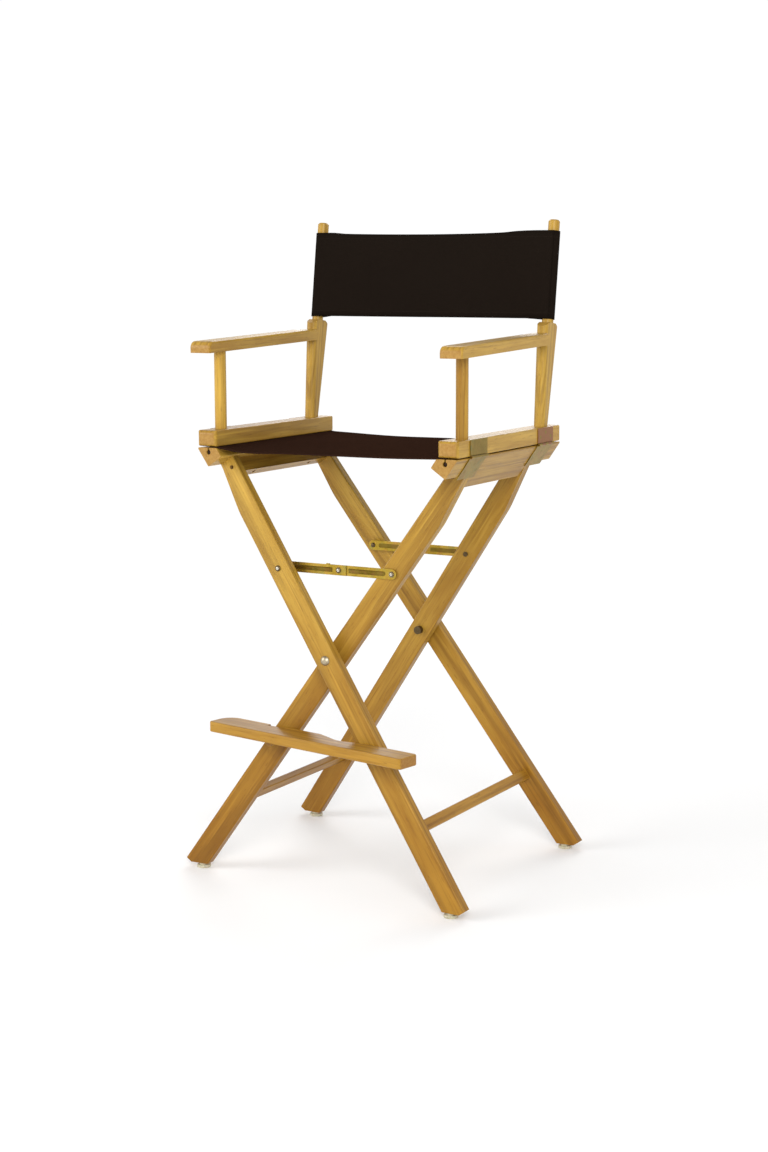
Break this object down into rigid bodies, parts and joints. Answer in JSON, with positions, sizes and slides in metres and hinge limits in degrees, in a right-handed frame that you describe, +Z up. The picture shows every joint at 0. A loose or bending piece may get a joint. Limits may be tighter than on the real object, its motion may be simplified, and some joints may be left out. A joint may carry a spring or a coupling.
{
  "type": "folding director chair",
  "caption": "Tall folding director chair: scissor wood leg frames, hinged arms, canvas seat and back band, folding metal braces and a pivoting wooden footrest.",
  "frame": {"origin": "on the floor, under the middle of the whole outline, footrest included", "axes": "+Z up, front towards -Y, the left arm on -X when seen from the front"},
  "size_m": [0.5842, 0.5255, 1.1554],
  "materials": {
    "varnished_wood": "clear gloss varnish on pale hardwood",
    "seat_fabric": "tight plain-weave cotton canvas",
    "back_fabric": "tight plain-weave cotton canvas",
    "passivated_brass": "yellow passivated sheet steel",
    "bright_steel": "bright zinc plate",
    "glide_plastic": "cream nylon"
  },
  "bodies": {
    "outer_frame": {"left_seat_rail": "varnished_wood", "left_apron": "varnished_wood", "outer_front_leg": "varnished_wood", "outer_back_leg": "varnished_wood", "right_stretcher": "varnished_wood", "right_front_glide": "glide_plastic", "right_back_glide": "glide_plastic", "left_frame_screws": "passivated_brass", "left_seat_dowel": "varnished_wood", "left_hinge_lower_leaves": "passivated_brass", "left_hinge_pins": "passivated_brass", "left_seat_rail_hinge_screws": "passivated_brass", "front_pivot_bolt": "bright_steel", "back_pivot_bolt": "bright_steel", "pivot_cap_nuts": "bright_steel", "pivot_spacers": "bright_steel", "outer_leg_brace_rivets": "bright_steel", "seat_canvas": "seat_fabric"},
    "inner_frame": {"right_seat_rail": "varnished_wood", "right_apron": "varnished_wood", "inner_front_leg": "varnished_wood", "inner_back_leg": "varnished_wood", "left_stretcher": "varnished_wood", "left_front_glide": "glide_plastic", "left_back_glide": "glide_plastic", "right_frame_screws": "passivated_brass", "right_seat_dowel": "varnished_wood", "right_hinge_lower_leaves": "passivated_brass", "right_hinge_pins": "passivated_brass", "right_seat_rail_hinge_screws": "passivated_brass", "footrest_peg": "varnished_wood", "inner_leg_brace_rivets": "bright_steel"},
    "left_arm": {"left_arm_rail": "varnished_wood", "left_front_post": "varnished_wood", "left_back_post": "varnished_wood", "left_armrest": "varnished_wood", "left_hinge_upper_leaves": "passivated_brass", "left_arm_rail_hinge_screws": "passivated_brass", "back_canvas_panel": "back_fabric", "back_canvas_left_sleeve": "back_fabric"},
    "right_arm": {"right_arm_rail": "varnished_wood", "right_front_post": "varnished_wood", "right_back_post": "varnished_wood", "right_armrest": "varnished_wood", "right_hinge_upper_leaves": "passivated_brass", "right_arm_rail_hinge_screws": "passivated_brass", "back_canvas_right_sleeve": "back_fabric"},
    "front_outer_link": {"front_brace_outer_link": "passivated_brass", "front_brace_mid_rivet": "bright_steel"},
    "front_inner_link": {"front_brace_inner_link": "passivated_brass", "front_brace_inner_rivet": "bright_steel"},
    "back_outer_link": {"back_brace_outer_link": "passivated_brass", "back_brace_mid_rivet": "bright_steel"},
    "back_inner_link": {"back_brace_inner_link": "passivated_brass", "back_brace_inner_rivet": "bright_steel"},
    "footrest": {"footrest_board": "varnished_wood", "footrest_bolt": "bright_steel", "footrest_washer": "bright_steel"}
  },
  "joints": [
    {"name": "frame_fold", "type": "hinge", "parent": "outer_frame", "child": "inner_frame", "pos_m": [0, 0.0214, 0.405], "axis": [0, -1, 0], "range_deg": [0, 57], "deforming": ["seat_canvas", "back_canvas_panel"]},
    {"name": "left_arm_hinge", "type": "hinge", "parent": "outer_frame", "child": "left_arm", "pos_m": [-0.2589, 0.0214, 0.763], "axis": [0, -1, 0], "range_deg": [0, 28.5]},
    {"name": "right_arm_hinge", "type": "hinge", "parent": "inner_frame", "child": "right_arm", "pos_m": [0.2589, 0.0214, 0.763], "axis": [0, 1, 0], "range_deg": [0, 28.5]},
    {"name": "front_brace_end", "type": "hinge", "parent": "outer_frame", "child": "front_outer_link", "pos_m": [-0.10388, -0.1294, 0.55615], "axis": [0, -1, 0], "range_deg": [0, 107.87]},
    {"name": "front_brace_middle", "type": "hinge", "parent": "front_outer_link", "child": "front_inner_link", "pos_m": [0, -0.1294, 0.55615], "axis": [0, 1, 0], "range_deg": [0, 158.74]},
    {"name": "back_brace_end", "type": "hinge", "parent": "outer_frame", "child": "back_outer_link", "pos_m": [-0.10388, 0.1722, 0.55615], "axis": [0, -1, 0], "range_deg": [0, 107.87]},
    {"name": "back_brace_middle", "type": "hinge", "parent": "back_outer_link", "child": "back_inner_link", "pos_m": [0, 0.1722, 0.55615], "axis": [0, 1, 0], "range_deg": [0, 158.74]},
    {"name": "footrest_swing", "type": "hinge", "parent": "outer_frame", "child": "footrest", "pos_m": [0.0966, -0.1986, 0.2645], "axis": [0, 1, 0], "range_deg": [0, 28]}
  ],
  "couplings": [
    {"joint": "left_arm_hinge", "follows": "frame_fold", "ratio": 0.5},
    {"joint": "right_arm_hinge", "follows": "frame_fold", "ratio": 0.5},
    {"joint": "front_brace_end", "follows": "frame_fold", "ratio": 1.8924},
    {"joint": "front_brace_middle", "follows": "frame_fold", "ratio": 2.7847},
    {"joint": "back_brace_end", "follows": "frame_fold", "ratio": 1.8924},
    {"joint": "back_brace_middle", "follows": "frame_fold", "ratio": 2.7847}
  ]
}
